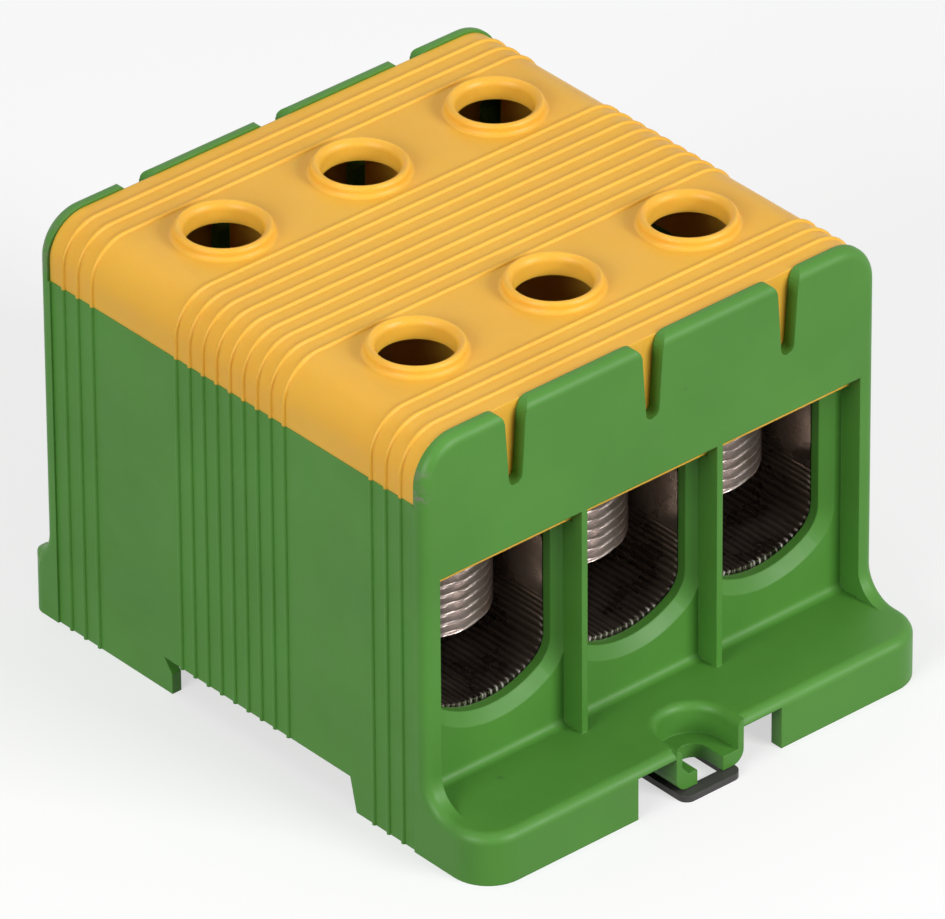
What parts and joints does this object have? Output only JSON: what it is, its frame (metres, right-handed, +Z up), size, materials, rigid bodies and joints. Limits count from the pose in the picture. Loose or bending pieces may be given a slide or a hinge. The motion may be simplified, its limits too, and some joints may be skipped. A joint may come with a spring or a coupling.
{
  "type": "earth terminal bar",
  "caption": "Green and yellow rail-mount earth terminal with a through clamping bar, hex clamp screws and a sprung rail latch.",
  "frame": {"origin": "centre of the bounding box in plan, at the underside of the feet", "axes": "+Z up away from the rail, X along the rail, -Y toward the front foot with the latch"},
  "size_m": [0.08, 0.095, 0.0651],
  "materials": {
    "green_plastic": "moulded green polyamide, satin",
    "yellow_plastic": "moulded yellow polyamide, satin",
    "tinned_aluminium": "tin-plated aluminium, extruded, fine lengthwise lines",
    "screw_steel": "zinc-plated steel, threaded",
    "latch_plastic": "dark grey moulded plastic",
    "spring_steel": "spring wire"
  },
  "bodies": {
    "body": {"housing": "green_plastic", "top_cover": "yellow_plastic", "terminal_bar": "tinned_aluminium", "latch_spring": "spring_steel"},
    "screw_1": {"clamp_screw_1": "screw_steel"},
    "screw_2": {"clamp_screw_2": "screw_steel"},
    "screw_3": {"clamp_screw_3": "screw_steel"},
    "screw_4": {"clamp_screw_4": "screw_steel"},
    "screw_5": {"clamp_screw_5": "screw_steel"},
    "screw_6": {"clamp_screw_6": "screw_steel"},
    "latch": {"rail_latch": "latch_plastic"}
  },
  "joints": [
    {"name": "screw_1_travel", "type": "slide", "parent": "body", "child": "screw_1", "axis": [0, 0, 1], "range_m": [-0.0045, 0.0134]},
    {"name": "screw_2_travel", "type": "slide", "parent": "body", "child": "screw_2", "axis": [0, 0, 1], "range_m": [-0.0054, 0.0125]},
    {"name": "screw_3_travel", "type": "slide", "parent": "body", "child": "screw_3", "axis": [0, 0, 1], "range_m": [-0.0061, 0.0118]},
    {"name": "screw_4_travel", "type": "slide", "parent": "body", "child": "screw_4", "axis": [0, 0, 1], "range_m": [-0.0051, 0.0128]},
    {"name": "screw_5_travel", "type": "slide", "parent": "body", "child": "screw_5", "axis": [0, 0, 1], "range_m": [-0.0057, 0.0122]},
    {"name": "screw_6_travel", "type": "slide", "parent": "body", "child": "screw_6", "axis": [0, 0, 1], "range_m": [-0.0048, 0.0131]},
    {"name": "latch_slide", "type": "slide", "parent": "body", "child": "latch", "axis": [0, -1, 0], "range_m": [0, 0.0025], "stiffness_N_per_m": 1500, "springref_m": -0.001, "deforming": ["latch_spring"]}
  ]
}
